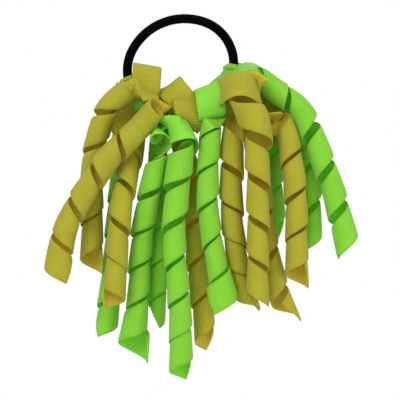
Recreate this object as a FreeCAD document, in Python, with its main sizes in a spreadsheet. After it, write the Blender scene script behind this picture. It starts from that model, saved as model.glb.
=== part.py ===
"""Korker hair bow: curled grosgrain ribbons knotted round a covered hair elastic.

Frame: +X to the wearer's right-hand side as seen from behind the head, +Y into the head, +Z up.
The origin is the centre of the elastic, which lies in the XZ plane. Lengths are in millimetres.
"""

import FreeCAD, Part
import Sketcher
import math
import os

from FreeCAD import Placement, Rotation, Vector

UP = Vector(0, 0, 1)
BACK = Vector(0, 1, 0)
FRONT = Vector(0, -1, 0)

# Driving dimensions: name, value (millimetres or degrees).
SIZES = [
    ("ring_half_length", 20.3),  # centre of the oval elastic to the cord's centreline, along its long axis
    ("ring_half_height", 17.9),  # the same across the long axis
    ("ring_end_roundness", 0.922),  # centreline radius of the oval's end arcs, as a share of its half height
    ("ring_tilt", 21.0),  # degrees that the long axis rises towards +X
    ("cord_diameter", 3.5),  # outside of the braided sleeve
    ("core_diameter", 2.3),  # rubber core
    ("core_clearance", 0.05),  # between core and sleeve, on the radius
    ("ribbon_width", 10.4),
    ("ribbon_thickness", 0.5),
    ("knot_length", 5.2),  # along the cord, with the ribbon gathered
    ("knot_spacing", 1.85),  # bare cord between two knots
    ("knot_layers", 2.0),  # layers of ribbon wrapped round the cord
    ("knot_clearance", 0.3),  # between the straight wrap and the curved cord
    ("knot_row_start", 0.3),  # first knot's middle, past the left end of the oval
    ("knot_face_height", 4.6),  # crossing tuck on the front of each knot
    ("knot_face_rise", 0.9),
    ("knot_edge_radius", 0.35),
    ("curl_diameter", 8.4),  # outside of each corkscrew curl
    ("curl_gap", 2.0),  # open gap between turns, along the curl's axis
    ("tail_gap", 0.4),  # clearance between curls that hang side by side
]

# Ribbons in order along the cord, from the left end of the oval.
RIBBONS = [
    "yellow_ribbon_1",
    "green_ribbon_1",
    "yellow_ribbon_2",
    "green_ribbon_2",
    "green_ribbon_3",
    "yellow_ribbon_3",
    "yellow_ribbon_4",
    "green_ribbon_4",
]

# Each tail: ribbon, side, hand of the curl (+1 right, -1 left), the offset (x, y, z) from the knot
# to the curl's start, and the points its axis hangs through as (x, y, drop below the ring).
# All of them count in hanging lanes, one lane being a curl and its clearance.
TAILS = [
    (
        "yellow_ribbon_1", "left", +1, (-0.79, -0.72, -0.615),
        [(-3.45, -0.4, 0), (-3.77, -0.1, 1.02), (-3.86, 0, 2.16), (-3.78, 0, 3.64), (-3.8, 0, 4.89),
         (-3.81, -0.02, 6.25)],
    ),
    (
        "yellow_ribbon_1", "right", -1, (0.161, 0.31, -2.34),
        [(-2.05, 0.15, 1.59), (-2.22, -0.34, 2.44), (-2.39, -0.8, 3.35), (-2.52, -1.02, 4.38),
         (-2.66, -1.02, 6.02), (-2.78, -1.04, 7.5)],
    ),
    (
        "green_ribbon_1", "left", +1, (-0.472, 1.058, -0.159),
        [(-2.54, 1.35, 0.68), (-2.61, 1.1, 2.61), (-2.73, 0.95, 3.98), (-2.9, 0.96, 6.02),
         (-3.06, 0.96, 7.61), (-3.2, 0.95, 8.86)],
    ),
    (
        "green_ribbon_1", "right", +1, (0.751, 0.778, -1.321),
        [(-0.97, 0.6, 1.7), (-0.97, 0.57, 3.07), (-0.97, 0.57, 4.38), (-0.97, 0.62, 6.02),
         (-1, 0.68, 7.39), (-1.1, 0.74, 8.52)],
    ),
    (
        "yellow_ribbon_2", "left", -1, (-0.316, -1.035, -0.276),
        [(-1.93, -1.1, 0.85), (-2.95, -1.11, 1.87), (-3.9, -1.11, 3.18), (-4.6, -1.11, 4.38),
         (-5, -1.11, 5.57), (-5.15, -1.11, 6.7)],
    ),
    (
        "yellow_ribbon_2", "right", +1, (1.183, 0.873, -0.46),
        [(0.34, 0.68, 1.36), (0.52, 0.34, 2.61), (0.55, 0.23, 3.86), (0.61, 0.23, 5.45), (0.77, 0.23, 7.1),
         (0.98, 0.23, 8.75), (1.06, 0.23, 9.55)],
    ),
    (
        "green_ribbon_2", "left", +1, (-0.5, -0.57, -0.86),
        [(-1.1, -0.72, 2.16), (-1.41, -0.5, 3.86), (-1.66, -0.17, 5.45), (-1.78, -0.13, 7.1),
         (-1.91, -0.13, 8.75), (-2.05, -0.14, 9.77)],
    ),
    (
        "green_ribbon_2", "right", +1, (0.473, -0.889, -0.999),
        [(0.07, -0.97, 2.16), (-0.2, -1, 3.86), (-0.26, -1, 5.45), (-0.11, -1, 7.1), (0, -1, 8.75),
         (0.03, -1, 10.57)],
    ),
    (
        "green_ribbon_3", "left", +1, (0.778, -0.841, -0.561),
        [(1.24, -0.93, 1.36), (1.16, -1, 2.73), (1.2, -1, 4.38), (1.48, -1, 6.02), (1.75, -1, 7.39)],
    ),
    (
        "green_ribbon_3", "right", +1, (2.62, -0.5, 2.2),
        [(3.92, -0.45, -2.33), (4.89, -0.51, -1.36), (5.62, -0.66, 0), (6.09, -0.68, 1.7),
         (6.51, -0.68, 3.41), (6.87, -0.68, 4.77), (7.05, -0.68, 5.45)],
    ),
    (
        "yellow_ribbon_3", "left", -1, (1.07, -0.4, -0.67),
        [(2.23, -0.45, 1.25), (2.17, -0.57, 2.73), (2.2, -0.59, 4.38), (2.41, -0.52, 6.02),
         (2.61, -0.48, 7.1), (2.89, -0.44, 8.07)],
    ),
    (
        "yellow_ribbon_3", "right", -1, (2.023, -1.486, -0.824),
        [(3.26, -1.36, 1.02), (3.27, -1.36, 2.05), (3.27, -1.36, 3.3), (3.27, -1.36, 4.94),
         (3.27, -1.36, 6.59), (3.27, -1.37, 7.5)],
    ),
    (
        "yellow_ribbon_4", "left", +1, (0.745, 0.725, -0.5),
        [(3.18, 0.28, 1.02), (3.33, -0.14, 2.27), (3.52, -0.27, 4.2), (3.8, -0.28, 6.02),
         (4.07, -0.32, 7.16), (4.41, -0.34, 8.18)],
    ),
    (
        "yellow_ribbon_4", "right", +1, (1.27, -0.96, 0.06),
        [(4.16, -0.61, -0.01), (4.66, -0.91, 1.7), (4.85, -1, 3.3), (4.91, -1, 4.89), (4.93, -1, 6.48)],
    ),
    (
        "green_ribbon_4", "left", +1, (1.2, 1.425, -1.11),
        [(3.93, 1.2, 0.45), (3.95, 1.05, 1.65), (4.01, 1.02, 3.3), (4.1, 1.02, 4.77)],
    ),
    (
        "green_ribbon_4", "right", +1, (0.904, 0.7, 0.041),
        [(3.88, 0.66, -1.26), (4.77, 0.62, -0.45), (5.32, 0.34, 0.8), (5.52, 0.18, 2.27),
         (5.6, 0.14, 3.86), (5.6, 0.14, 5.23)],
    ),
]

SAMPLES_PER_HALF_TURN = 7
SAME_WAY = 1  # a ruled face runs along both of its edges in the same direction
SEAM = 1e-5  # how closely the faces of a ribbon are joined

doc = FreeCAD.newDocument("korker_hair_bow")
sheet = doc.addObject("Spreadsheet::Sheet", "Sizes")


def fill_sheet():
    """One row per size: its name in column A and its value, with the name as alias, in column B."""
    for row, (name, value) in enumerate(SIZES, start=1):
        sheet.set(f"A{row}", name)
        sheet.set(f"B{row}", str(value))
        sheet.setAlias(f"B{row}", name)
    doc.recompute()


def size(name):
    return float(getattr(sheet, name))


def origin_plane(body, role):
    return next(feature for feature in body.Origin.OriginFeatures if feature.Role == role)


def new_sketch(body, role, name):
    sketch = body.newObject("Sketcher::SketchObject", name)
    sketch.AttachmentSupport = [(origin_plane(body, role), "")]
    sketch.MapMode = "FlatFace"
    return sketch


def bind(sketch, constraint, expression):
    """Ties a new constraint of the sketch to sizes in the sheet."""
    index = sketch.addConstraint(constraint)
    sketch.setExpression(f"Constraints[{index}]", expression)


def end_radius():
    return size("ring_half_height") * size("ring_end_roundness")


def side_radius():
    """Radius of the oval's two flatter arcs, which meet the end arcs without a corner."""
    centre = size("ring_half_length") - end_radius()
    height = size("ring_half_height")
    return (centre**2 + height**2 - end_radius() ** 2) / (2 * (height - end_radius()))


END_RADIUS = "Sizes.ring_half_height * Sizes.ring_end_roundness"
SIDE_RADIUS = (
    f"((Sizes.ring_half_length - {END_RADIUS})^2 + Sizes.ring_half_height^2"
    f" - ({END_RADIUS})^2) / (2 * (Sizes.ring_half_height - {END_RADIUS}))"
)


def oval_arcs():
    """The elastic's centreline before its tilt: centre, radius and angles of four tangent arcs.

    They run anticlockwise in the XZ plane from the left end's junction below the long axis.
    """
    reach = size("ring_half_length") - end_radius()
    offset = side_radius() - size("ring_half_height")
    turn = math.atan2(offset, reach)
    end, side = end_radius(), side_radius()
    return [
        ((reach, 0), end, -turn, turn),
        ((0, -offset), side, turn, math.pi - turn),
        ((-reach, 0), end, math.pi - turn, math.pi + turn),
        ((0, offset), side, math.pi + turn, 2 * math.pi - turn),
    ]


def add_oval(sketch):
    for (x, z), radius, start, stop in oval_arcs():
        circle = Part.Circle(Vector(x, z, 0), Vector(0, 0, 1), radius)
        sketch.addGeometry(Part.ArcOfCircle(circle, start, stop), False)
    for arc in range(3):
        sketch.addConstraint(Sketcher.Constraint("Tangent", arc, 2, arc + 1, 1))
    # The fourth junction closes by itself, because the oval is the same above and below its long axis.
    sketch.addConstraint(Sketcher.Constraint("Vertical", 0, 1, 0, 2))
    sketch.addConstraint(Sketcher.Constraint("Horizontal", 3, 1, 3, 2))
    for arc, axis in ((0, -1), (1, -2), (2, -1), (3, -2)):
        sketch.addConstraint(Sketcher.Constraint("PointOnObject", arc, 3, axis))
    sketch.addConstraint(Sketcher.Constraint("Equal", 0, 2))
    sketch.addConstraint(Sketcher.Constraint("Equal", 1, 3))
    reach = size("ring_half_length") - end_radius()
    bind(sketch, Sketcher.Constraint("Radius", 0, end_radius()), END_RADIUS)
    bind(
        sketch,
        Sketcher.Constraint("DistanceX", -1, 1, 0, 3, reach),
        f"Sizes.ring_half_length - {END_RADIUS}",
    )
    bind(sketch, Sketcher.Constraint("Radius", 1, side_radius()), SIDE_RADIUS)


def add_circle(sketch, radius, radius_text, centre=0.0, centre_text=None):
    """A circle whose centre lies on the sketch's horizontal axis."""
    index = sketch.addGeometry(Part.Circle(Vector(centre, 0, 0), Vector(0, 0, 1), radius), False)
    if centre_text:
        sketch.addConstraint(Sketcher.Constraint("PointOnObject", index, 3, -1))
        bind(sketch, Sketcher.Constraint("DistanceX", -1, 1, index, 3, centre), centre_text)
    else:
        sketch.addConstraint(Sketcher.Constraint("Coincident", index, 3, -1, 1))
    bind(sketch, Sketcher.Constraint("Radius", index, radius), radius_text)


def new_body(label):
    body = doc.addObject("PartDesign::Body", label)
    body.Label = label
    return body


def sweep_round(body, kind, name, spine, radius, radius_text):
    """A circle of this radius swept round the oval, added to the body or cut from it."""
    section = new_sketch(body, "XY_Plane", name + "_section")
    add_circle(section, radius, radius_text, size("ring_half_length"), "Sizes.ring_half_length")
    doc.recompute()
    pipe = body.newObject(kind, name)
    pipe.Profile = section
    pipe.Spine = (spine, [""])
    doc.recompute()


def new_ring_body(label):
    """A body with the elastic's oval drawn in it, tilted as the ring is."""
    body = new_body(label)
    spine = new_sketch(body, "XZ_Plane", label + "_oval")
    add_oval(spine)
    body.Placement = Placement(Vector(0, 0, 0), Rotation(BACK, -size("ring_tilt")))
    return body, spine


def make_elastic():
    core = size("core_diameter") / 2
    bore = core + size("core_clearance")
    body, spine = new_ring_body("elastic_core")
    sweep_round(body, "PartDesign::AdditivePipe", "rubber", spine, core, "Sizes.core_diameter / 2")
    body, spine = new_ring_body("elastic_sleeve")
    outside = size("cord_diameter") / 2
    sweep_round(body, "PartDesign::AdditivePipe", "braid", spine, outside, "Sizes.cord_diameter / 2")
    bore_text = "Sizes.core_diameter / 2 + Sizes.core_clearance"
    sweep_round(body, "PartDesign::SubtractivePipe", "braid_bore", spine, bore, bore_text)


def ring_place(distance):
    """Point on the tilted centreline, and its direction, a distance past the oval's left end."""
    arcs = oval_arcs()
    left, bottom, right = arcs[2], arcs[3], arcs[0]
    spans = [(left, math.pi, left[3]), (bottom, bottom[2], bottom[3]), (right, right[2], 0.0)]
    for (centre, radius, _, _), start, stop in spans:
        length = radius * (stop - start)
        if distance <= length:
            break
        distance -= length
    angle = start + distance / radius
    point = Vector(centre[0] + radius * math.cos(angle), 0, centre[1] + radius * math.sin(angle))
    direction = Vector(-math.sin(angle), 0, math.cos(angle))
    tilt = Rotation(BACK, -size("ring_tilt"))
    return tilt.multVec(point), tilt.multVec(direction)


def knot_place(index):
    pitch = size("knot_length") + size("knot_spacing")
    return ring_place(size("knot_row_start") + index * pitch)


def make_knot(index, ribbon):
    """A ribbon's knot: layers wrapped round the cord, with the crossing tuck standing on the front.

    In the body's own frame the cord runs along Z and the front of the bow is -Y.
    """
    label = ribbon + "_knot"
    body = new_body(label)
    bore_text = "Sizes.cord_diameter / 2 + Sizes.knot_clearance"
    outer_text = bore_text + " + Sizes.knot_layers * Sizes.ribbon_thickness"
    bore = size("cord_diameter") / 2 + size("knot_clearance")
    outer = bore + size("knot_layers") * size("ribbon_thickness")
    ring = new_sketch(body, "XY_Plane", label + "_ring")
    add_circle(ring, outer, outer_text)
    add_circle(ring, bore, bore_text)
    wrap = body.newObject("PartDesign::Pad", label + "_wrap")
    wrap.Profile = ring
    wrap.Midplane = True
    wrap.setExpression("Length", "Sizes.knot_length")
    doc.recompute()
    tuck = new_sketch(body, "XZ_Plane", label + "_tuck")
    half_width, half_height = size("knot_face_height") / 2, size("knot_length") / 2
    corners = [(-half_width, -half_height), (half_width, -half_height)]
    corners += [(half_width, half_height), (-half_width, half_height)]
    for i in range(4):
        (x0, y0), (x1, y1) = corners[i], corners[(i + 1) % 4]
        tuck.addGeometry(Part.LineSegment(Vector(x0, y0, 0), Vector(x1, y1, 0)), False)
    for i in range(4):
        tuck.addConstraint(Sketcher.Constraint("Coincident", i, 2, (i + 1) % 4, 1))
    for i, kind in enumerate(("Horizontal", "Vertical", "Horizontal", "Vertical")):
        tuck.addConstraint(Sketcher.Constraint(kind, i))
    tuck.addConstraint(Sketcher.Constraint("Symmetric", 0, 1, 2, 1, -1, 1))
    bind(tuck, Sketcher.Constraint("DistanceX", 0, 1, 0, 2, 2 * half_width), "Sizes.knot_face_height")
    bind(tuck, Sketcher.Constraint("DistanceY", 1, 1, 1, 2, 2 * half_height), "Sizes.knot_length")
    # The sketch stands inside the wrap's front wall, so that the tuck and the wrap are one solid.
    tuck.AttachmentOffset = Placement(Vector(0, 0, (bore + outer) / 2), Rotation())
    tuck.setExpression("AttachmentOffset.Base.z", f"({bore_text} + {outer_text}) / 2")
    doc.recompute()
    face = body.newObject("PartDesign::Pad", label + "_face")
    face.Profile = tuck
    face.setExpression("Length", f"({outer_text} - ({bore_text})) / 2 + Sizes.knot_face_rise")
    doc.recompute()
    front_y = min(vertex.Y for vertex in face.Shape.Vertexes)
    edges = [
        f"Edge{number}"
        for number, edge in enumerate(face.Shape.Edges, start=1)
        if all(abs(vertex.Y - front_y) < 1e-6 for vertex in edge.Vertexes)
    ]
    rounding = body.newObject("PartDesign::Fillet", label + "_rounding")
    rounding.Base = (face, edges)
    rounding.setExpression("Radius", "Sizes.knot_edge_radius")
    point, direction = knot_place(index)
    across = BACK.cross(direction)
    body.Placement = Placement(point, Rotation(across, BACK, direction, "ZXY"))
    return body


def helix_pitch():
    """Rise of one turn, so that the ribbon's edges stand apart by the gap between turns."""
    around = math.pi * (size("curl_diameter") - size("ribbon_thickness"))
    pitch = size("ribbon_width")
    for _ in range(60):
        pitch = size("ribbon_width") * math.hypot(around, pitch) / around + size("curl_gap")
    return pitch, math.hypot(around, pitch) / around


class Axis:
    """The curved centreline of a hanging curl, carried on straight past both ends."""

    def __init__(self, points):
        self.curve = Part.BSplineCurve()
        self.curve.interpolate(points)
        self.edge = self.curve.toShape()
        self.length = self.edge.Length

    def at(self, distance):
        inside = min(max(distance, 0.0), self.length)
        parameter = self.edge.getParameterByLength(inside)
        direction = self.edge.tangentAt(parameter)
        return self.edge.valueAt(parameter) + direction * (distance - inside), direction

    def around(self, distance, radius, angle):
        """Point at a radius from the axis; the angle counts from the front of the bow."""
        point, direction = self.at(distance)
        side = direction.cross(FRONT).normalize()
        front = side.cross(direction).normalize()
        return point + (front * math.cos(angle) + side * math.sin(angle)) * radius


def spline(points):
    """Smooth curve whose parameter is the number of the point it passes."""
    curve = Part.BSplineCurve()
    curve.interpolate(Points=points, Parameters=[float(number) for number in range(len(points))])
    return curve


def curl_shape(points, hand, start_angle):
    """A ribbon wound as a corkscrew on a curved axis: one solid of even thickness."""
    axis = Axis(points)
    pitch, slope = helix_pitch()
    half = size("ribbon_width") * slope / 2
    outer = size("curl_diameter") / 2
    inner = outer - size("ribbon_thickness")
    half_turns = max(2, round(2 * axis.length / pitch))
    steps = half_turns * SAMPLES_PER_HALF_TURN
    edges = {}
    for radius in (outer, inner):
        for shift in (-half, half):
            trail = []
            for step in range(steps + 1):
                distance = axis.length * step / steps
                angle = start_angle + hand * 2 * math.pi * distance / pitch
                trail.append(axis.around(distance + shift, radius, angle))
            edges[radius, shift] = spline(trail)
    upper_outer, lower_outer = edges[outer, -half], edges[outer, half]
    upper_inner, lower_inner = edges[inner, -half], edges[inner, half]
    sides = [
        (upper_outer, lower_outer),
        (upper_inner, lower_inner),
        (upper_outer, upper_inner),
        (lower_outer, lower_inner),
    ]
    faces = []
    for start in range(0, steps, SAMPLES_PER_HALF_TURN):
        stop = start + SAMPLES_PER_HALF_TURN
        for one, other in sides:
            faces.append(Part.makeRuledSurface(one.toShape(start, stop), other.toShape(start, stop), SAME_WAY))
    for end in (0, steps):
        upper = Part.makeLine(upper_outer.value(end), upper_inner.value(end))
        lower = Part.makeLine(lower_outer.value(end), lower_inner.value(end))
        faces.append(Part.makeRuledSurface(upper, lower, SAME_WAY))
    skin = Part.makeCompound(faces)
    skin.sewShape(SEAM)
    solid = Part.makeSolid(skin.Shells[0])
    if solid.Volume < 0:
        solid.reverse()
    return solid


def make_tail(ribbon, side, hand, start, hang):
    knot, _ = knot_place(RIBBONS.index(ribbon))
    lane = size("curl_diameter") + size("tail_gap")
    points = [Vector(*start) * lane + knot]
    for x, y, drop in hang:
        points.append(Vector(x * lane, y * lane, -size("ring_half_height") - drop * lane))
    behind = points[0].y > 0
    feature = doc.addObject("Part::Feature", f"{ribbon}_tail_{side}")
    feature.Label = feature.Name
    feature.Shape = curl_shape(points, hand, 0.0 if behind else math.pi)
    feature.Placement = Placement()
    return feature


def check_document(pieces):
    doc.recompute()
    for item in doc.Objects:
        if "Invalid" in item.State or "Error" in item.State:
            raise RuntimeError(f"{item.Label} did not compute: {item.State}")
    for piece in pieces:
        if piece.Shape.isNull() or not piece.Shape.isValid() or len(piece.Shape.Solids) != 1:
            raise RuntimeError(f"{piece.Label} is not one valid solid")


def main():
    fill_sheet()
    make_elastic()
    for index, ribbon in enumerate(RIBBONS):
        make_knot(index, ribbon)
    for tail in TAILS:
        make_tail(*tail)
    pieces = [item for item in doc.Objects if item.TypeId in ("PartDesign::Body", "Part::Feature")]
    check_document(pieces)
    os.makedirs("parts", exist_ok=True)
    for piece in pieces:
        piece.Shape.exportStep(f"parts/{piece.Label}.step")
        print(f"{piece.Label}: {piece.Shape.Volume:.1f} mm3")


main()
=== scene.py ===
"""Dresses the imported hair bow: curled grosgrain ribbons knotted round a braided elastic."""
import math

import bpy
import numpy as np
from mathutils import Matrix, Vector


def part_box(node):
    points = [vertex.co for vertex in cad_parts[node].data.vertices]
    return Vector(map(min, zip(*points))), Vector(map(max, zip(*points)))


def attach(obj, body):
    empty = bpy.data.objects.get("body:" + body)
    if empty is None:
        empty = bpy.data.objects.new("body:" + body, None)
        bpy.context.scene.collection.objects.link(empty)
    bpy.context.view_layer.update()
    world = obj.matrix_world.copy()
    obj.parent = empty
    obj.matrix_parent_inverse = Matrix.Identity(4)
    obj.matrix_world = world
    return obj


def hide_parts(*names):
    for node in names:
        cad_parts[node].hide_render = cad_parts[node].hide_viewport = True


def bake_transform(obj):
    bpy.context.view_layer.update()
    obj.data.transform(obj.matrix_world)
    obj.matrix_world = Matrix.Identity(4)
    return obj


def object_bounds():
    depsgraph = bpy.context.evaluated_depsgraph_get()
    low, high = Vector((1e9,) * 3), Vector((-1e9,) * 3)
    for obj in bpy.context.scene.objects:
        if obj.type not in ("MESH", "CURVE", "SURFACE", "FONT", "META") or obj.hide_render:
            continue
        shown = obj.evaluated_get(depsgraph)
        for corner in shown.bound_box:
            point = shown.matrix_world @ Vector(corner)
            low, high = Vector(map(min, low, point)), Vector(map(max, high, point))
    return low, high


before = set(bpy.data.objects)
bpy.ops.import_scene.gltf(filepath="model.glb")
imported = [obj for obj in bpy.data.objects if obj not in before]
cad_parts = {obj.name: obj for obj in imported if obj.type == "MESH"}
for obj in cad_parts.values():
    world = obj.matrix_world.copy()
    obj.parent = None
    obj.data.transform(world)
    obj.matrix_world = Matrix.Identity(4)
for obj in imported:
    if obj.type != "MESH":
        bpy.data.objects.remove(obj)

cad_low, cad_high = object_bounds()

# Shapes are worked out in millimetres, in the frame's axes, and scaled to metres in the mesh.
MM = 0.001
RIBBON_WIDTH = 10.4
RIBBON_THICKNESS = 0.5
CURL_RADIUS = 3.95
CONE = 0.06  # how much wider each turn is at its lower edge, per mm of its width

# The elastic's oval ring: half its length and height, and how far its long axis leans.
RING_HALF_LENGTH = 20.3
RING_HALF_HEIGHT = 17.9
RING_TILT = math.radians(21.0)

# The weave of the ribbon.
RIB_PITCH = 0.66
THREAD_PITCH = 0.33
SELVAGE = 0.45

# Mesh steps along a ribbon and points across it.
TAIL_STEP = 0.55
STRAP_STEP = 0.5
TAIL_ACROSS = 9
WRAP_ACROSS = 13

RIBBONS = [
    "yellow_ribbon_1", "green_ribbon_1", "yellow_ribbon_2", "green_ribbon_2",
    "green_ribbon_3", "yellow_ribbon_3", "yellow_ribbon_4", "green_ribbon_4",
]


def vec(*xyz):
    return np.array(xyz, float)


def unit(v):
    v = np.asarray(v, float)
    return v / np.maximum(np.linalg.norm(v, axis=-1, keepdims=True), 1e-12)


class Spline:
    """Natural cubic spline through points, by the given parameters or by chord length."""

    def __init__(self, points, knots=None):
        self.p = np.asarray(points, float)
        if knots is None:
            steps = np.linalg.norm(np.diff(self.p, axis=0), axis=1)
            knots = np.concatenate([[0.0], np.cumsum(steps)])
        self.t = np.asarray(knots, float)
        n = len(self.t)
        h = np.diff(self.t)
        matrix = np.zeros((n, n))
        right = np.zeros((n, self.p.shape[1]))
        matrix[0, 0] = matrix[-1, -1] = 1.0
        for i in range(1, n - 1):
            matrix[i, i - 1 : i + 2] = h[i - 1], 2 * (h[i - 1] + h[i]), h[i]
            after, before = self.p[i + 1] - self.p[i], self.p[i] - self.p[i - 1]
            right[i] = 6 * (after / h[i] - before / h[i - 1])
        self.m = np.linalg.solve(matrix, right)

    def __call__(self, x):
        x = np.atleast_1d(np.asarray(x, float))
        i = np.clip(np.searchsorted(self.t, x) - 1, 0, len(self.t) - 2)
        h = (self.t[i + 1] - self.t[i])[:, None]
        a = ((self.t[i + 1] - x)[:, None]) / h
        b = 1 - a
        return (
            a * self.p[i] + b * self.p[i + 1]
            + ((a**3 - a) * self.m[i] + (b**3 - b) * self.m[i + 1]) * h**2 / 6
        )


class Axis:
    """The curved centreline of a curl, by its own length, carried on straight past both ends."""

    def __init__(self, points):
        curve = Spline(points)
        t = np.linspace(curve.t[0], curve.t[-1], 600)
        p = curve(t)
        s = np.concatenate([[0.0], np.cumsum(np.linalg.norm(np.diff(p, axis=0), axis=1))])
        self.length = s[-1]
        self.s = s
        self.p = p
        self.d = unit(np.gradient(p, s, axis=0))

    def at(self, s):
        inside = np.clip(s, 0, self.length)
        p = np.stack([np.interp(inside, self.s, self.p[:, k]) for k in range(3)], -1)
        d = unit(np.stack([np.interp(inside, self.s, self.d[:, k]) for k in range(3)], -1))
        return p + d * (s - inside)[..., None], d

    def around(self, s, radius, angle):
        p, d = self.at(s)
        side = unit(np.cross(d, vec(0, -1, 0)))
        front = np.cross(side, d)
        radius = np.asarray(radius)[..., None]
        return p + (front * np.cos(angle)[..., None] + side * np.sin(angle)[..., None]) * radius


def smooth(x):
    x = np.clip(x, 0, 1)
    return x * x * (3 - 2 * x)


def ribbon_part(mid, u, v, thickness=RIBBON_THICKNESS):
    """A ribbon of even thickness round a grid of points on its middle surface, as plain arrays.

    mid is (along, across, 3) in millimetres; u and v are the lengths along and across it, for
    the weave. The underside is the side that the cross product of along and across points away
    from. The edges are thinned and rounded, as a selvage is.
    """
    thinning, overhang = 0.35, 0.3
    along, across = mid.shape[:2]
    lip = unit(np.gradient(mid, axis=1))
    normal = unit(np.cross(np.gradient(mid, axis=0), lip))
    thinned = 1 - thinning * np.abs(np.linspace(-1, 1, across)) ** 10
    half = thickness / 2 * thinned[None, :, None]
    left = mid[:, :1] - lip[:, :1] * thickness * overhang
    right = mid[:, -1:] + lip[:, -1:] * thickness * overhang
    upper, lower = mid + normal * half, mid - normal * half
    loop = np.concatenate([upper, right, lower[:, ::-1], left], axis=1)
    vv = np.broadcast_to(v, (along, across))
    uu = np.broadcast_to(np.asarray(u)[:, None], (along, across))
    around = [np.concatenate([a, a[:, -1:], a[:, ::-1], a[:, :1]], axis=1) for a in (uu, vv)]
    ring = loop.shape[1]
    i, j = np.meshgrid(np.arange(along - 1), np.arange(ring), indexing="ij")
    j2 = (j + 1) % ring
    quads = np.stack([i * ring + j, i * ring + j2, (i + 1) * ring + j2, (i + 1) * ring + j], -1)
    faces = quads.reshape(-1, 4).tolist()
    for row, way in ((0, -1), (along - 1, 1)):  # close both cut ends
        base = row * ring
        for k in range(across - 1):
            under = base + 2 * across - k
            faces.append([base + k, base + k + 1, under - 1, under][::way])
        faces.append([base + across - 1, base + across, base + across + 1][::way])
        faces.append([base + 2 * across, base + 2 * across + 1, base][::way])
    inner = np.zeros(ring, np.float32)
    inner[across + 1 : 2 * across + 1] = 1.0
    weave = np.stack([around[0].reshape(-1), around[1].reshape(-1)], -1)
    return loop.reshape(-1, 3) * MM, faces, weave, np.tile(inner, along)


def ribbon_object(name, parts):
    """One mesh object made of ribbon parts, with the weave as UVs in millimetres."""
    vertices, faces, weave, inner, first = [], [], [], [], 0
    for points, part_faces, part_weave, part_inner in parts:
        vertices.append(points)
        faces += [[first + k for k in face] for face in part_faces]
        weave.append(part_weave)
        inner.append(part_inner)
        first += len(points)
    mesh = bpy.data.meshes.new(name)
    mesh.from_pydata(np.concatenate(vertices).tolist(), [], faces)
    index = np.zeros(len(mesh.loops), int)
    mesh.loops.foreach_get("vertex_index", index)
    uv = mesh.uv_layers.new(name="weave")
    uv.data.foreach_set("uv", np.concatenate(weave)[index].astype(np.float32).ravel())
    layer = mesh.attributes.new("underside", "FLOAT", "POINT")
    layer.data.foreach_set("value", np.concatenate(inner).astype(np.float32))
    mesh.polygons.foreach_set("use_smooth", np.ones(len(mesh.polygons), bool))
    mesh.update()
    obj = bpy.data.objects.new(name, mesh)
    bpy.context.scene.collection.objects.link(obj)
    return obj


def lengths(line):
    return np.concatenate([[0.0], np.cumsum(np.linalg.norm(np.diff(line, axis=0), axis=1))])


def curl_surface(axis, spec, v, step):
    """Points of a ribbon wound on the axis, so that its gaps pass the front at the seams' heights.

    The ribbon lies on a cylinder and keeps its width. A positive v is nearer the lower end.
    """
    seams = np.interp([-z for z in spec["seams"]], -axis.p[:, 2], axis.s)
    ahead, behind = seams[1] - seams[0], seams[-1] - seams[-2]
    spare = 3  # turns marked beyond the first and last seam
    marks = np.concatenate([
        seams[0] - ahead * np.arange(spare, 0, -1),
        seams,
        seams[-1] + behind * np.arange(1, spare + 1),
    ])
    grid = np.arange(marks[0], marks[-1], 0.1)
    turns = np.interp(grid, marks, np.arange(len(marks)) - float(spare))
    reach = 15  # half the width of the smoothing, in grid steps
    window = 2 * reach + 1
    for _ in range(2):
        turns[reach:-reach] = np.convolve(turns, np.full(window, 1 / window), "valid")

    if spec["end"] > axis.p[-1, 2]:
        end = np.interp(-spec["end"], -axis.p[:, 2], axis.s)
    else:
        end = axis.length + (axis.p[-1, 2] - spec["end"])
    if "above" in spec:
        above = spec["above"]
    elif axis.p[0, 1] < 0:
        above = max(0.0, round(seams[0] / ahead))
    else:
        above = round(seams[0] / ahead - 0.5) + 0.5
    start = seams[0] - ahead * above

    s = np.arange(start, end, 0.05)
    share = np.clip((s - start) / (end - start), 0, 1)
    places, scales = zip(*spec.get("size", [(0, 1.0)]))
    radius = CURL_RADIUS * np.interp(share, places, scales)
    uneven = 1 + 0.02 * np.sin(share * 9 + len(marks)) + 0.015 * np.sin(share * 23 + start)
    radius = radius * uneven
    angle = 2 * math.pi * np.interp(s, grid, turns) + math.pi
    u = np.concatenate([[0.0], np.cumsum(np.hypot(np.diff(s), radius[1:] * np.diff(angle)))])
    rows = np.linspace(0, u[-1], int(u[-1] / step) + 1)
    s, radius, angle = (np.interp(rows, u, a) for a in (s, radius, angle))
    slope = np.arctan2(np.gradient(s), radius * np.gradient(angle))
    along = s[:, None] + v * np.cos(slope)[:, None]
    turned = spec["hand"] * (angle[:, None] - v * np.sin(slope)[:, None] / radius[:, None])
    return axis.around(along, radius[:, None] + CONE * v, turned)


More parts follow.
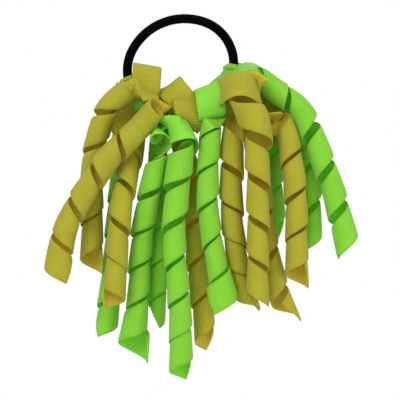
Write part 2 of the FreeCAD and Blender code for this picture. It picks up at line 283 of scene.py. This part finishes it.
def strap(nodes, v, step, last=None):
    """A flat stretch of ribbon through nodes of (point, direction across the ribbon).

    last holds the first rows of the curl that it runs into. Over its last few millimetres the
    strap takes on the curl's bowed section.
    """
    settling, second = 8.0, 4
    points = [vec(*p) for p, _ in nodes]
    acrosses = [unit(vec(*w)) for _, w in nodes]
    if last is not None:
        centre = len(v) // 2
        for row in (last[0], last[second]):
            points.append(row[centre])
            acrosses.append(unit(row[-1] - row[0]))
    line = Spline(points)
    turning = Spline(acrosses, line.t)
    end = line.t[-1] if last is None else line.t[-2]
    t = np.linspace(0, end, max(6, int(end / step)), endpoint=last is None)
    p = line(t)
    along = unit(line(t + 0.05) - line(t - 0.05))
    w = turning(t)
    w = unit(w - along * np.sum(w * along, axis=1, keepdims=True))
    flat = p[:, None] + w[:, None] * v[None, :, None]
    if last is None:
        return flat
    bow = last[0] - (last[0][centre] + acrosses[-2] * v[:, None])
    fade = smooth((t - end + settling) / settling)[:, None, None]
    return flat + bow[None] * fade


def loop_nodes(centre, radius, across, angles):
    """Nodes of a round loop of ribbon; the angles are in degrees, anticlockwise from the right."""
    w = unit(vec(*across))
    up = unit(vec(0, 0, 1) - w * w[2])
    right = np.cross(up, w)
    turned = [math.radians(a) for a in angles]
    return [(vec(*centre) + radius * (right * math.cos(a) + up * math.sin(a)), w) for a in turned]


# The sixteen tails. hand is the way of the winding, 1 or -1, and seams are the heights at which
# the gap between two turns passes the front. end is the height of the ribbon's lower end, and
# above the number of turns over the first seam at which the curl begins. size scales its radius
# by the share of its length. axis holds points of the centreline, leader the strap from the knot,
# as (point, direction across), and bends the two points between which the tail lets go of the knot.
TAILS = {
    "yellow_ribbon_1_tail_left": dict(
        hand=1, seams=[-16.4, -30.1, -43.5, -57.0, -70.1], end=-73.5, above=0.66,
        axis=[(-18.2, -6.8, -7.6), (-24.2, -6.3, -12.4), (-28.4, -4.0, -18.0), (-31.2, -1.4, -26.4),
              (-33.2, 0, -36.9), (-33.3, 0, -49.9), (-33.4, 0, -60.9), (-33.5, -0.2, -72.9)],
        leader=[((-9.6, -4.4, -10.4), (0.0, -0.92, -0.35)),
                ((-13.0, -6.0, -9.9), (-0.1, -0.85, -0.5)),
                ((-15.8, -7.8, -9.4), (-0.35, -0.5, -0.8))],
    ),
    "yellow_ribbon_1_tail_right": dict(
        hand=-1, seams=[-33.6, -45.6, -59.7, -74.0, -88.5], end=-86.0,
        axis=[(-17.4, 2.7, -28.1), (-18, 1.3, -31.9), (-19.5, -3, -39.4), (-21, -7, -47.4),
              (-22.2, -9, -56.4), (-23.4, -9, -70.9), (-24.5, -9.2, -83.9)],
    ),
    "green_ribbon_1_tail_left": dict(
        hand=1, seams=[-21.8, -35.1, -48.4, -61.7, -75.2, -88.6], end=-98.0,
        axis=[(-19.1, 9.3, -14.7), (-22.4, 11.9, -23.9), (-23, 9.7, -40.9), (-24, 8.4, -52.9),
              (-25.5, 8.4, -70.9), (-26.9, 8.4, -84.9), (-28.2, 8.4, -95.9)],
    ),
    "green_ribbon_1_tail_right": dict(
        hand=1, seams=[-34.3, -47.4, -60.8, -73.5, -87.0], end=-94.0, size=[(0, 0.9)],
        axis=[(-8.3, 6.8, -25), (-8.5, 5.3, -32.9), (-8.5, 5, -44.9), (-8.5, 5, -56.4),
              (-8.5, 5.5, -70.9), (-8.8, 6, -82.9), (-9.7, 6.5, -92.9)],
    ),
    "yellow_ribbon_2_tail_left": dict(
        hand=-1, seams=[-18.6, -20.4, -30.1, -41.0, -53.6, -66.5], end=-76.0, above=0.0,
        size=[(0, 1.0), (0.08, 1.04), (0.16, 1.12), (0.85, 1.08), (1, 1.25)],
        axis=[(-6.8, -14.0, -14.6), (-9.6, -12.0, -17.0), (-13.0, -10.4, -21.0), (-17, -9.7, -25.4),
              (-26, -9.8, -34.4), (-34.3, -9.8, -45.9), (-40.5, -9.8, -56.4), (-44, -9.8, -66.9),
              (-45.3, -9.8, -76.9)],
    ),
    "yellow_ribbon_2_tail_right": dict(
        hand=1, seams=[-30.2, -44.1, -58.6, -73.4, -87.5, -101.4], end=-103.0, size=[(0, 0.93)],
        axis=[(-1.2, 7.4, -21), (0.6, 6, -29.9), (4.0, 3.4, -40.9), (4.8, 2, -51.9),
              (5.4, 2, -65.9), (6.8, 2, -80.4), (8.6, 2, -94.9), (9.3, 2, -101.9)],
    ),
    "green_ribbon_2_tail_left": dict(
        hand=1, seams=[-32.6, -48.2, -61.3, -75.0, -88.6], end=-106.0, above=-0.25,
        size=[(0, 1.0), (0.75, 0.97), (0.88, 1.15), (1, 1.6)],
        axis=[(-8.0, -9.4, -30.0), (-8.8, -7.6, -34.5), (-9.9, -6.4, -40),
              (-12.4, -4.4, -51.9), (-14.6, -1.5, -65.9), (-15.7, -1.1, -80.4),
              (-16.8, -1.1, -94.9), (-18, -1.2, -103.9)],
        leader=[((-6.5, -4.6, -21.0), (0.40, -0.84, -0.36)),
                ((-11.0, -7.2, -24.6), (0.40, -0.84, -0.36))]
        + loop_nodes((-9.9, -9.0, -28.6), 5.0, (0.40, -0.84, -0.36), (90, 45, 0, -40)),
    ),
    "green_ribbon_2_tail_right": dict(
        hand=1, seams=[-30.8, -43.3, -59.5, -73.2, -87.3, -100.5, -114.5], end=-112.5, above=-0.25,
        size=[(0, 1.2), (0.2, 1.1), (0.5, 1.0)],
        axis=[(0.6, -10.6, -29.0), (0.0, -10.0, -34), (-0.6, -9.2, -40),
              (-1.8, -8.8, -51.9), (-2.3, -8.8, -65.9), (-1, -8.8, -80.4), (0, -8.8, -94.9),
              (0.3, -8.8, -110.9)],
        leader=[((-1.5, -4.2, -20.6), (0.38, -0.58, -0.72)),
                ((-4.6, -8.4, -23.8), (0.38, -0.58, -0.72))]
        + loop_nodes((-0.6, -9.2, -27.9), 6.0, (0.38, -0.58, -0.72), (100, 60, 20, -20)),
    ),
    "green_ribbon_3_tail_left": dict(
        hand=1, seams=[-25.5, -38.1, -51.9, -65.4, -78.2], end=-86.9, above=0.35,
        leader=[((11.8, -0.6, -14.0), (0.95, 0, 0.3)), ((12.6, -1.0, -18.0), (0.95, 0, 0.3))],
        size=[(0, 0.95), (0.86, 0.95), (1, 1.5)],
        axis=[(12.4, -4.2, -15.0), (11.8, -6.2, -22.2), (10.9, -7.8, -29.9), (10.2, -8.8, -41.9),
              (10.6, -8.8, -56.4), (13, -8.8, -70.9), (15.4, -8.8, -82.9)],
    ),
    "green_ribbon_3_tail_right": dict(
        hand=1, seams=[-5.4, -11.8, -25.5, -39.3, -54.4], end=-66.8, above=0.3, size=[(0, 1.08)],
        bends=[(12.6, -4.5, -5.0), (22.0, -4.5, -5.0)],
        axis=[(22.5, -4.5, -2.6), (29.5, -3.6, -4.6), (34.9, -3.0, -8.8), (41, -3.0, -12.8),
              (46.0, -3.6, -18.2), (50.0, -4.8, -27.0), (53.6, -6, -37.0), (57.3, -6, -47.9),
              (60.5, -6, -59.9), (62, -6, -65.9)],
        leader=[((13.0, -1.2, -9.8), (0.2, -0.88, -0.42)),
                ((17.5, -3.4, -6.2), (0.2, -0.88, -0.42))],
    ),
    "yellow_ribbon_3_tail_left": dict(
        hand=-1, seams=[-24.0, -39.7, -53.4, -65.8, -77.5, -89.2], end=-88.5,
        size=[(0, 1.08), (0.6, 1.0), (1, 0.85)],
        axis=[(20.7, -3.5, -20), (19.6, -4, -28.9), (19.1, -5, -41.9), (19.4, -5.2, -56.4),
              (21.2, -4.6, -70.9), (23, -4.2, -80.4), (25.4, -3.9, -88.9)],
    ),
    "yellow_ribbon_3_tail_right": dict(
        hand=-1, seams=[-11.2, -28.4, -43.6, -59.2, -73.6], end=-85.0, above=0.1,
        size=[(0, 1.5), (0.15, 1.5), (0.28, 1.15), (0.4, 1.05), (1, 0.95)],
        axis=[(21.0, -16.0, -4.5), (22.6, -14.6, -9.5), (26.0, -13.2, -16.5), (28.2, -12.4, -24),
              (28.8, -12, -35.9), (28.8, -12, -46.9), (28.8, -12, -61.4), (28.8, -12, -75.9),
              (28.8, -12.1, -83.9)],
        leader=[((14.0, -7.0, -10.6), (0.1, -0.45, -0.9)),
                ((16.8, -13.0, -9.0), (0.05, -0.5, -0.87)),
                ((21.2, -17.6, -7.6), (0.05, -0.5, -0.87)),
                ((26.4, -16.0, -8.6), (0.1, -0.4, -0.9)),
                ((29.0, -11.4, -10.2), (0.25, -0.25, -0.93))],
    ),
    "yellow_ribbon_4_tail_left": dict(
        hand=1, seams=[-28.9, -42.3, -56.7, -71.0, -86.5], end=-93.0,
        axis=[(22.9, 6.4, -13.6), (28, 2.5, -26.9), (29.3, -1.2, -37.9), (31, -2.4, -54.9),
              (33.4, -2.5, -70.9), (35.8, -2.8, -80.9), (38.8, -3, -89.9)],
    ),
    "yellow_ribbon_4_tail_right": dict(
        hand=1, seams=[-22.0, -35.0, -48.1, -62.9, -75.3], end=-78.5, above=0.1,
        leader=[((31.0, 3.4, -10.5), (0.9, 0, 0.3)), ((34.5, 4.2, -15.0), (0.9, 0, 0.3))],
        axis=[(30.5, -4.4, -10.7), (37.6, -4.4, -19.8), (41, -7.6, -32.9), (42.7, -8.8, -46.9),
              (43.2, -8.8, -60.9), (43.4, -8.8, -74.9)],
    ),
    "green_ribbon_4_tail_left": dict(
        hand=1, seams=[-18.7, -32.3, -47.3, -61.3], end=-61.5,
        axis=[(30, 12.5, -12.8), (34.6, 10.6, -21.9), (34.8, 9.2, -32.4), (35.3, 9, -46.9),
              (36.1, 9, -59.9)],
    ),
    "green_ribbon_4_tail_right": dict(
        hand=1, seams=[-10.5, -23.1, -37.7, -53.5], end=-66.0, above=0.0, size=[(0, 0.95)],
        axis=[(27.4, 6.2, -2.6), (34.1, 5.8, -6.8), (42, 5.5, -13.9), (46.8, 3, -24.9),
              (48.6, 1.6, -37.9), (49.3, 1.2, -51.9), (49.3, 1.2, -63.9)],
    ),
}


def knot_centre(ribbon):
    low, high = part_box(ribbon + "_knot")
    return np.array((low + high) / 2) / MM


def default_leader(ribbon, curl):
    """From the front or back of the knot's wrap into the first turn, its width along the curl's."""
    off_cord, before_curl, second = 2.9, 3.2, 4
    centre = knot_centre(ribbon)
    middle = curl.shape[1] // 2
    first, across = curl[0][middle], unit(curl[0][-1] - curl[0][0])
    tangent = unit(curl[second][middle] - first)
    q = first - tangent * before_curl
    p = vec(centre[0], math.copysign(off_cord, first[1]), centre[2])
    side = unit(np.cross(q - p, vec(0, 1, 0)))
    if side @ across < 0:
        side = -side
    return [(p, side), (q, unit(across + 0.3 * side))]


def ribbon_tail(name, spec):
    """The cloth of one tail, and its length along the middle."""
    v = np.linspace(-RIBBON_WIDTH / 2, RIBBON_WIDTH / 2, TAIL_ACROSS)
    curl = curl_surface(Axis(spec["axis"]), spec, v, TAIL_STEP)
    leader = spec.get("leader") or default_leader(name.split("_tail_")[0], curl)
    cloth = np.concatenate([strap(leader, v, TAIL_STEP, curl), curl])
    s = lengths(cloth[:, TAIL_ACROSS // 2])
    if spec["hand"] < 0:
        cloth = cloth[:, ::-1]
    return ribbon_object(name + "_cloth", [ribbon_part(cloth, s, v)]), s[-1]


# Materials ---------------------------------------------------------------------------------


def new_material(name):
    material = bpy.data.materials.new(name)
    material.use_nodes = True
    nodes = material.node_tree.nodes
    nodes.clear()
    output = nodes.new("ShaderNodeOutputMaterial")
    shader = nodes.new("ShaderNodeBsdfPrincipled")
    material.node_tree.links.new(shader.outputs[0], output.inputs[0])
    return material, nodes, material.node_tree.links, shader


def math_node(nodes, links, operation, *values):
    """The output of a Math node, whose inputs are numbers or other nodes' outputs."""
    node = nodes.new("ShaderNodeMath")
    node.operation = operation
    for socket, value in zip(node.inputs, values):
        if isinstance(value, (int, float)):
            socket.default_value = value
        else:
            links.new(value, socket)
    return node.outputs[0]


def noise_node(nodes, links, scale, detail):
    """Noise that stays with the object."""
    noise = nodes.new("ShaderNodeTexNoise")
    noise.inputs["Scale"].default_value = scale
    noise.inputs["Detail"].default_value = detail
    coordinates = nodes.new("ShaderNodeTexCoord")
    links.new(coordinates.outputs["Object"], noise.inputs["Vector"])
    return noise.outputs[0]


def bump_node(nodes, links, height, strength, depth):
    bump = nodes.new("ShaderNodeBump")
    bump.inputs["Strength"].default_value = strength
    bump.inputs["Distance"].default_value = depth
    links.new(height, bump.inputs["Height"])
    return bump.outputs[0]


def colour_mix(nodes, links, share, first, second):
    """Mixes two colours, given as constants or as other nodes' outputs."""
    mix = nodes.new("ShaderNodeMix")
    mix.data_type = "RGBA"
    links.new(share, mix.inputs[0])
    for socket, value in ((mix.inputs[6], first), (mix.inputs[7], second)):
        if isinstance(value, tuple):
            socket.default_value = value
        else:
            links.new(value, socket)
    return mix.outputs[2]


def linear(r, g, b):
    """A colour written as 0 to 255 in sRGB."""

    def one(c):
        c /= 255
        return c / 12.92 if c <= 0.04045 else ((c + 0.055) / 1.055) ** 2.4

    return (one(r), one(g), one(b), 1.0)


def grosgrain(name, light, dark, inner):
    """Ribbed ribbon: ribs across it, a raised edge on each side, small changes of colour, painted
    shade between the ribs and a painted glow on the underside.
    """
    thread_relief, edge_relief = 0.18, 0.9  # against 1 for the ribs
    # The first share is how far the underside is painted towards its glow colour, for light through
    # the cloth; the second is how much of the shader is translucent.
    underside_glow_share, glow_share = 0.65, 0.35
    material, nodes, links, shader = new_material(name)

    def calc(operation, *values):
        return math_node(nodes, links, operation, *values)

    uv = nodes.new("ShaderNodeUVMap")
    uv.uv_map = "weave"
    split = nodes.new("ShaderNodeSeparateXYZ")
    links.new(uv.outputs[0], split.inputs[0])
    along, across = split.outputs[0], split.outputs[1]
    rib = calc("SINE", calc("MULTIPLY", along, 2 * math.pi / RIB_PITCH))
    thread = calc("SINE", calc("MULTIPLY", across, 2 * math.pi / THREAD_PITCH))
    edge = calc("GREATER_THAN", calc("ABSOLUTE", across), RIBBON_WIDTH / 2 - SELVAGE)
    height = calc("ADD", rib, calc("MULTIPLY", thread, thread_relief))
    height = calc("ADD", height, calc("MULTIPLY", edge, edge_relief))
    relief = bump_node(nodes, links, height, strength=0.6, depth=0.00014)
    links.new(relief, shader.inputs["Normal"])

    # Painted shade: the colour is lighter on the ribs and darker between them, with random tone
    # from noise. Painted glow: the underside is painted in a brighter, warmer colour, for light
    # that passes through the cloth.
    wear = noise_node(nodes, links, scale=140.0, detail=3.0)
    face = colour_mix(nodes, links, calc("MULTIPLY_ADD", rib, -0.3, wear), light, dark)
    under = nodes.new("ShaderNodeAttribute")
    under.attribute_name = "underside"
    # Painted glow: the underside is painted brighter and warmer, for light that shines through the
    # cloth.
    painted_glow = calc("MULTIPLY", under.outputs["Fac"], underside_glow_share)
    colour = colour_mix(nodes, links, painted_glow, face, inner)
    links.new(colour, shader.inputs["Base Color"])
    shader.inputs["Roughness"].default_value = 0.62
    shader.inputs["Specular IOR Level"].default_value = 0.3
    shader.inputs["Sheen Weight"].default_value = 0.12
    shader.inputs["Sheen Roughness"].default_value = 0.4

    # Some light passes through the cloth.
    glow = nodes.new("ShaderNodeBsdfTranslucent")
    links.new(colour, glow.inputs[0])
    both = nodes.new("ShaderNodeMixShader")
    both.inputs[0].default_value = glow_share
    links.new(shader.outputs[0], both.inputs[1])
    links.new(glow.outputs[0], both.inputs[2])
    links.new(both.outputs[0], nodes["Material Output"].inputs[0])
    return material


def braid_material(name, colour):
    """Matte black of the elastic, with a fine uneven grain."""
    material, nodes, links, shader = new_material(name)
    grain = noise_node(nodes, links, scale=2600.0, detail=2.0)
    paler = tuple(min(1.0, c * 2.2) for c in colour[:3]) + (1.0,)
    links.new(colour_mix(nodes, links, grain, colour, paler), shader.inputs["Base Color"])
    relief = bump_node(nodes, links, grain, strength=0.3, depth=0.0001)
    links.new(relief, shader.inputs["Normal"])
    shader.inputs["Roughness"].default_value = 0.85
    shader.inputs["Specular IOR Level"].default_value = 0.03
    shader.inputs["Sheen Weight"].default_value = 0.01
    return material


# Each ribbon has three colours: the lit ribs, the painted shade between them, and the painted glow
# of the underside.
YELLOW = grosgrain(
    "yellow_grosgrain", linear(196, 193, 52), linear(174, 169, 38), linear(238, 208, 66))
GREEN = grosgrain(
    "green_grosgrain", linear(156, 226, 66), linear(136, 208, 46), linear(150, 240, 70))
BLACK = braid_material("black_braid", linear(1, 1, 2))
RUBBER = braid_material("black_rubber", linear(20, 20, 20))


def dress(piece, name, *replaced):
    """Gives a ribbon piece its colour and hides the solids that it replaces."""
    colour = YELLOW if name.startswith("yellow") else GREEN
    piece.data.materials.append(colour)
    if replaced:
        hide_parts(*replaced)


# Tails -------------------------------------------------------------------------------------

for name, spec in TAILS.items():
    piece, length = ribbon_tail(name, spec)
    dress(piece, name, name)
    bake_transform(piece)

for node, material in (("elastic_core", RUBBER), ("elastic_sleeve", BLACK)):
    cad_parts[node].data.materials.clear()
    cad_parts[node].data.materials.append(material)

# Knots -------------------------------------------------------------------------------------


def cord_frame(ribbon):
    """Middle of the ribbon's knot, the cord's direction there, and the way out of the ring."""
    centre = knot_centre(ribbon) * vec(1, 0, 1)
    long_axis = vec(math.cos(RING_TILT), 0, math.sin(RING_TILT))
    short_axis = vec(-math.sin(RING_TILT), 0, math.cos(RING_TILT))
    a, b = centre @ long_axis, centre @ short_axis
    outward = unit(long_axis * a / RING_HALF_LENGTH**2 + short_axis * b / RING_HALF_HEIGHT**2)
    return centre, np.cross(outward, vec(0, 1, 0)), outward


def wound(centre, cord, outward, turns, start, radius, v, lean, slide):
    """A ribbon wrapped round the cord; the angle goes from the front to the ring's outside."""
    count = int(abs(turns) * 2 * math.pi * max(radius) / STRAP_STEP) + 2
    share = np.linspace(0, 1, count)
    angle = start + share * turns * 2 * math.pi
    r = radius[0] + (radius[1] - radius[0]) * share
    round_it = vec(0, -1, 0) * np.cos(angle)[:, None] + outward * np.sin(angle)[:, None]
    turned = lean * np.gradient(round_it, axis=0) / (2 * math.pi * abs(turns) / count)
    across = unit(cord + turned)
    middle = centre + round_it * r[:, None] + cord * (slide * (share - 0.5))[:, None]
    return middle[:, None] + across[:, None] * v[None, :, None]


def pleated(grid, depth, folds):
    """Presses folds along the ribbon into a strap."""
    normal = unit(np.cross(np.gradient(grid, axis=0), np.gradient(grid, axis=1)))
    w = np.linspace(-1, 1, grid.shape[1])
    return grid + normal * (depth * np.cos(w * math.pi * folds))[None, :, None]


# Loops and straps of the knots, as nodes of (point, direction across the ribbon).
KNOT_LOOPS = {
    "yellow_ribbon_1": [
        [
            ((-13.6, -3.4, -12.2), (1, 0, -0.25)), ((-12.9, -4.6, -8.5), (1, 0, -0.2)),
            ((-12.6, -4.5, -4.0), (1, 0, -0.17)), ((-12.5, -3.6, -0.6), (1, 0, -0.17)),
            ((-12.4, -1.2, 0.5), (1, 0, -0.17)), ((-12.5, 1.6, -0.8), (1, 0, -0.17)),
            ((-12.9, 3.4, -5.0), (1, 0, -0.2)), ((-13.8, 3.6, -9.5), (1, 0, -0.3)),
        ],
    ],
    "yellow_ribbon_2": [
        [
            ((-6.5, 3.2, -14.5), (0.8, 0, 0.6)), ((-6.0, 1.6, -9.6), (0.8, 0, 0.6)),
            ((-4.3, -1.4, -7.0), (0.8, 0, 0.6)), ((-3.0, -4.6, -8.6), (0.8, 0, 0.6)),
            ((0.0, -5.6, -12.2), (0.8, 0, 0.6)), ((2.6, -5.2, -15.6), (0.8, 0, 0.6)),
            ((4.2, -3.4, -18.6), (0.85, 0.1, 0.5)), ((3.6, -1.6, -20.5), (0.9, 0.1, 0.3)),
        ],
        [
            ((2.6, -5.9, -12.6), (1, 0.1, -0.1)), ((3.2, -7.4, -16.8), (1, 0.15, -0.12)),
            ((3.4, -6.6, -20.4), (0.8, 0.3, -0.45)), ((2.2, -4.0, -22.4), (0.5, 0.5, -0.7)),
        ],
    ],
    "green_ribbon_3": [
        [
            ((9.4, 2.8, -16.5), (1, 0, 0.35)), ((9.8, 2.6, -11.5), (1, 0, 0.35)),
            ((10.0, 0.4, -8.6), (1, 0, 0.38)), ((10.2, -5.0, -7.4), (1, 0, 0.38)),
            ((10.8, -8.9, -10.4), (1, 0, 0.34)), ((11.6, -9.6, -15.2), (1, 0, 0.3)),
            ((12.0, -7.8, -18.8), (1, 0, 0.28)), ((11.6, -3.0, -20.0), (1, 0, 0.28)),
        ],
        [
            ((11.5, -3.0, -9.4), (0.1, -0.8, -0.6)), ((16.0, -5.4, -5.4), (0.1, -0.84, -0.52)),
            ((21.0, -6.2, -2.0), (0.1, -0.9, -0.42)), ((26.5, -5.0, -0.4), (0, -0.94, -0.35)),
            ((31.0, -3.6, -2.8), (0, -0.9, -0.45)),
        ],
    ],
}

# A pulled knot narrows the ribbon to these shares of its width.
WRAP_SHARE, TUCK_SHARE = 0.72, 0.74

for number, ribbon in enumerate(RIBBONS):
    v = np.linspace(-RIBBON_WIDTH / 2, RIBBON_WIDTH / 2, WRAP_ACROSS)
    flat_v = np.linspace(-RIBBON_WIDTH / 2, RIBBON_WIDTH / 2, TAIL_ACROSS)
    knot = cord_frame(ribbon)
    way = (-1) ** number
    wrap = wound(
        *knot, turns=1.35, start=-2.2 + 0.5 * number, radius=(2.75, 3.35),
        v=v * WRAP_SHARE, lean=0.16 * way, slide=0.6)
    tuck = wound(
        *knot, turns=0.5, start=-1.6, radius=(3.8, 4.0),
        v=v * TUCK_SHARE, lean=-0.9 * way, slide=1.6)
    grids = [(pleated(wrap, depth=0.5, folds=3), v), (pleated(tuck, depth=0.28, folds=2), v)]
    for nodes in KNOT_LOOPS.get(ribbon, []):
        loop = strap(nodes, flat_v, STRAP_STEP)
        grids.append((loop if ribbon == "yellow_ribbon_2" else loop[:, ::-1], flat_v))
    parts, total = [], 0.0
    for grid, width in grids:
        middle_line = lengths(grid[:, grid.shape[1] // 2])
        total += middle_line[-1]
        parts.append(ribbon_part(grid, middle_line, width))
    piece = ribbon_object(ribbon + "_wrap", parts)
    dress(piece, ribbon, ribbon + "_knot")
    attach(piece, "elastic")

# Stage, light and camera -------------------------------------------------------------------

FLOOR_HALF, FLOOR_GAP = 1.5, 0.03

middle = (cad_low + cad_high) / 2
floor_z = cad_low.z - FLOOR_GAP
signs = ((-1, -1), (1, -1), (1, 1), (-1, 1))
corners = [(x * FLOOR_HALF, y * FLOOR_HALF, floor_z) for x, y in signs]
floor_mesh = bpy.data.meshes.new("floor")
floor_mesh.from_pydata(corners, [], [(0, 1, 2, 3)])
floor = bpy.data.objects.new("floor", floor_mesh)
bpy.context.scene.collection.objects.link(floor)
pale, nodes, links, shader = new_material("pale_floor")
shader.inputs["Base Color"].default_value = (0.8, 0.8, 0.8, 1)
shader.inputs["Roughness"].default_value = 0.9
path = nodes.new("ShaderNodeLightPath")
white = nodes.new("ShaderNodeEmission")
mixer = nodes.new("ShaderNodeMixShader")
links.new(path.outputs["Is Camera Ray"], mixer.inputs[0])
links.new(shader.outputs[0], mixer.inputs[1])
links.new(white.outputs[0], mixer.inputs[2])
links.new(mixer.outputs[0], nodes["Material Output"].inputs[0])
floor.data.materials.append(pale)

# A soft white sky lights the bow; the camera and glossy rays see plain white.
WHITE = (1, 1, 1, 1)
SKY_STRENGTH = 0.75
world = bpy.data.worlds.new("studio")
bpy.context.scene.world = world
world.use_nodes = True
tree = world.node_tree
tree.nodes.clear()
output = tree.nodes.new("ShaderNodeOutputWorld")
soft = tree.nodes.new("ShaderNodeBackground")
backdrop = tree.nodes.new("ShaderNodeBackground")
for background, strength in ((soft, SKY_STRENGTH), (backdrop, 1.0)):
    background.inputs[0].default_value = WHITE
    background.inputs[1].default_value = strength
seen = tree.nodes.new("ShaderNodeLightPath")
either = tree.nodes.new("ShaderNodeMath")
either.operation = "MAXIMUM"
tree.links.new(seen.outputs["Is Camera Ray"], either.inputs[0])
tree.links.new(seen.outputs["Is Glossy Ray"], either.inputs[1])
chosen = tree.nodes.new("ShaderNodeMixShader")
tree.links.new(either.outputs[0], chosen.inputs[0])
tree.links.new(soft.outputs[0], chosen.inputs[1])
tree.links.new(backdrop.outputs[0], chosen.inputs[2])
tree.links.new(chosen.outputs[0], output.inputs[0])


def lamp(name, place, energy, width):
    """A square lamp aimed at the middle of the bow; place and width in metres, energy in watts."""
    light = bpy.data.lights.new(name, "AREA")
    light.energy = energy
    light.size = width
    obj = bpy.data.objects.new(name, light)
    bpy.context.scene.collection.objects.link(obj)
    obj.location = place
    aim = Vector((middle.x, 0, middle.z)) - Vector(place)
    obj.rotation_euler = aim.to_track_quat("-Z", "Y").to_euler()


lamp("key", (-0.35, -0.75, 0.55), energy=5.5, width=0.5)
lamp("fill", (0.6, -0.6, 0.1), energy=2.2, width=0.6)
lamp("rim", (0.1, 0.7, 0.5), energy=2.0, width=0.5)

# The frame is 151 mm wide at the object, seen straight from the front through a long lens.
VIEW_WIDTH = 0.1509
VIEW_X, VIEW_Z = 0.00736, -0.0502
camera_data = bpy.data.cameras.new("camera")
camera_data.lens = 135
camera_data.sensor_width = 36
camera_data.clip_end = 10
distance = VIEW_WIDTH * camera_data.lens / camera_data.sensor_width
camera = bpy.data.objects.new("camera", camera_data)
bpy.context.scene.collection.objects.link(camera)
camera.location = (VIEW_X, -distance, VIEW_Z)
camera.rotation_euler = (math.pi / 2, 0, 0)
bpy.context.scene.camera = camera

bpy.context.scene.view_settings.view_transform = "Standard"
